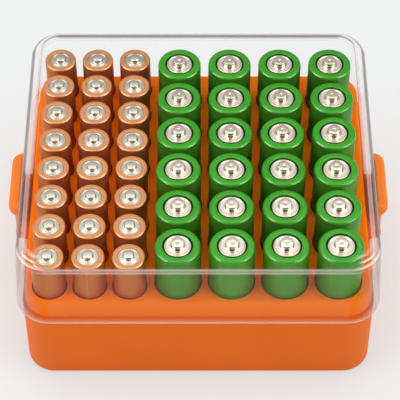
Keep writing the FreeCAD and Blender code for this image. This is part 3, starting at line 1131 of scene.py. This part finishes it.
# Floor, light and camera, in metres but for the camera's places
FLOOR_HALF = 4.0
FLOOR_COLOUR = (0.785, 0.82, 0.83, 1)
FLOOR_GLOW = (0.86, 0.86, 0.855, 1)
FLOOR_GLOW_SHARE = 0.5
SOFTBOXES = (
    ("softbox_above", (-0.1, 0.3, 1.15), (-0.1, 0.1, 0), 1.3, 1.0, 6.5),
    ("softbox_left", (-1.05, -0.38, 0.62), (0, 0, 0.04), 0.8, 0.4, 5.0),
    ("softbox_right", (1.05, -0.38, 0.62), (0, 0, 0.04), 0.8, 0.4, 5.0),
)
WORLD_LIGHT = 0.55

# The mirrored world brightens over a span of the direction's part away from the camera. Its panels
# start at a product of the sideways and upward parts, and end at a part away from the camera
MIRRORED_SPAN = (-0.75, 0.2)
MIRRORED_NEAR = 0.06
MIRRORED_FAR = 0.62
PANEL_START = 0.27
PANEL_RISE = 15.0
PANEL_END = 0.2
PANEL_FALL = 5.0
PANEL_STRENGTH = 4.0

CAMERA_TARGET = (0.535, -22.2, 54.0)
CAMERA_PLACE = (0.535, -376.5, 476.4)
CAMERA_LENS = 158.03


def make_floor():
    """A plain pale floor, paler to the camera than it lights the object, with the object's shadow."""
    mesh = bpy.data.meshes.new("floor")
    corners = [(x * FLOOR_HALF, y * FLOOR_HALF, 0) for x, y in ((-1, -1), (1, -1), (1, 1), (-1, 1))]
    mesh.from_pydata(corners, [], [(0, 1, 2, 3)])
    floor = new_object("floor", mesh)
    settings = {"Base Color": FLOOR_COLOUR, "Roughness": 0.9, "Specular IOR Level": 0.1}
    material, tree, shader, _ = new_material("floor_paper", settings)
    glow = tree.nodes.new("ShaderNodeEmission")
    glow.inputs["Color"].default_value = FLOOR_GLOW
    light_path = tree.nodes.new("ShaderNodeLightPath")
    share = math_node(tree, "MULTIPLY", light_path.outputs["Is Camera Ray"], FLOOR_GLOW_SHARE)
    mix_into_surface(tree, share, shader, glow)
    mesh.materials.append(material)


def point_object(holder, place, aim):
    """Puts a lamp or a camera at a place, turned to its aim."""
    holder.location = place
    holder.rotation_euler = Vector(aim - place).to_track_quat("-Z", "Y").to_euler()


def add_softbox(name, place, aim, width, height, power):
    """An oblong soft lamp at a place, turned to its aim."""
    lamp = bpy.data.lights.new(name, "AREA")
    lamp.shape = "RECTANGLE"
    lamp.size = width
    lamp.size_y = height
    lamp.energy = power
    point_object(new_object(name, lamp), np.array(place), np.array(aim))


def make_light():
    """A large softbox overhead, a smaller one at each side, and a pale world. Shiny surfaces see the
    world darker on the camera's side, with a bright panel halfway up on the left and the right: where
    the product of the direction's sideways and upward parts is large, and it isn't far behind."""
    for softbox in SOFTBOXES:
        add_softbox(*softbox)
    world = bpy.data.worlds.new("studio")
    world.use_nodes = True
    tree = world.node_tree
    rays = tree.nodes.new("ShaderNodeLightPath").outputs
    seen = math_node(tree, "MAXIMUM", rays["Is Camera Ray"], rays["Is Glossy Ray"])
    seen = math_node(tree, "MAXIMUM", seen, rays["Is Transmission Ray"])
    direction = tree.nodes.new("ShaderNodeTexCoord")
    across, back, up = split_vector(tree, direction.outputs["Generated"])
    sweep = smooth_ramp(tree, back, *MIRRORED_SPAN, MIRRORED_NEAR, MIRRORED_FAR)
    halfway = math_node(tree, "MULTIPLY", math_node(tree, "ABSOLUTE", across), up)
    panels = math_node(tree, "SUBTRACT", halfway, PANEL_START)
    panels = math_node(tree, "MULTIPLY", panels, PANEL_RISE, clamp=True)
    before = math_node(tree, "SUBTRACT", PANEL_END, back)
    before = math_node(tree, "MULTIPLY", before, PANEL_FALL, clamp=True)
    panels = math_node(tree, "MULTIPLY", panels, before)
    mirrored_world = math_node(tree, "MULTIPLY_ADD", panels, PANEL_STRENGTH, sweep)
    strength = tree.nodes.new("ShaderNodeMix")
    strength.inputs[2].default_value = WORLD_LIGHT
    tree.links.new(seen, strength.inputs[0])
    tree.links.new(mirrored_world, strength.inputs[3])
    background = tree.nodes["Background"]
    background.inputs["Color"].default_value = (1, 1, 1, 1)
    tree.links.new(strength.outputs[0], background.inputs["Strength"])
    bpy.context.scene.world = world


def make_camera():
    """The camera at the photograph's view."""
    camera = bpy.data.cameras.new("camera")
    camera.lens = CAMERA_LENS
    camera.sensor_width = 36.0
    camera.clip_start, camera.clip_end = 0.01, 50.0
    holder = new_object("camera", camera)
    point_object(holder, np.array(CAMERA_PLACE) * MM, np.array(CAMERA_TARGET) * MM)
    bpy.context.scene.camera = holder


make_floor()
make_light()
make_camera()
bpy.context.scene.view_settings.view_transform = "Standard"
